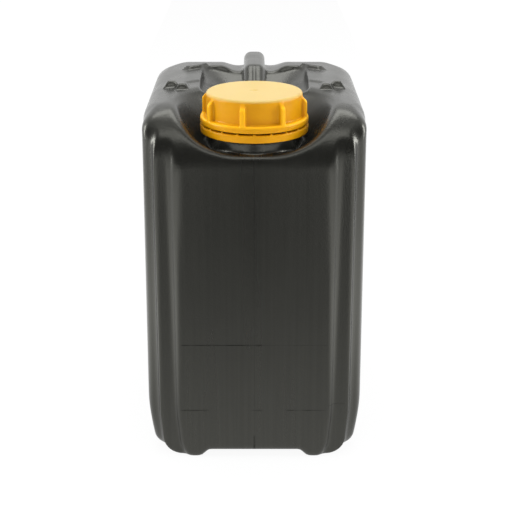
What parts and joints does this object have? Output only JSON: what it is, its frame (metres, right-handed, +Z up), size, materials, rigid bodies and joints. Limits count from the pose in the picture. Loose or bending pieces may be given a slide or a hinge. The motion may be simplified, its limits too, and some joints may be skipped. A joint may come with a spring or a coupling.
{
  "type": "plastic canister",
  "caption": "Upright stackable plastic canister for oil, with a recessed neck, a ribbed screw cap over a tamper band, and a carrying handle moulded into the deck.",
  "frame": {"origin": "on the floor, under the middle of the can", "axes": "+Z up, +X across to the right seen from the front, +Y to the rear; the neck is towards -Y"},
  "size_m": [0.145, 0.19, 0.247],
  "materials": {
    "can_plastic": "black high density polyethylene, satin, faintly pebbled",
    "cap_plastic": "yellow-orange polyethylene, satin, slightly translucent",
    "seal_foam": "white foamed polyethylene"
  },
  "bodies": {
    "can": {"can_body": "can_plastic", "tamper_band": "cap_plastic"},
    "seal": {"cap_seal": "seal_foam"},
    "cap": {"screw_cap": "cap_plastic"}
  },
  "joints": [
    {"name": "cap_lift", "type": "slide", "parent": "can", "child": "seal", "axis": [0, 0, 1], "range_m": [0, 0.0121]},
    {"name": "cap_turn", "type": "hinge", "parent": "seal", "child": "cap", "pos_m": [0, -0.06, 0.23], "axis": [0, 0, 1], "range_deg": [0, 720]}
  ],
  "couplings": [
    {"joint": "cap_lift", "follows": "cap_turn", "m_per_rad": 0.00095493}
  ]
}
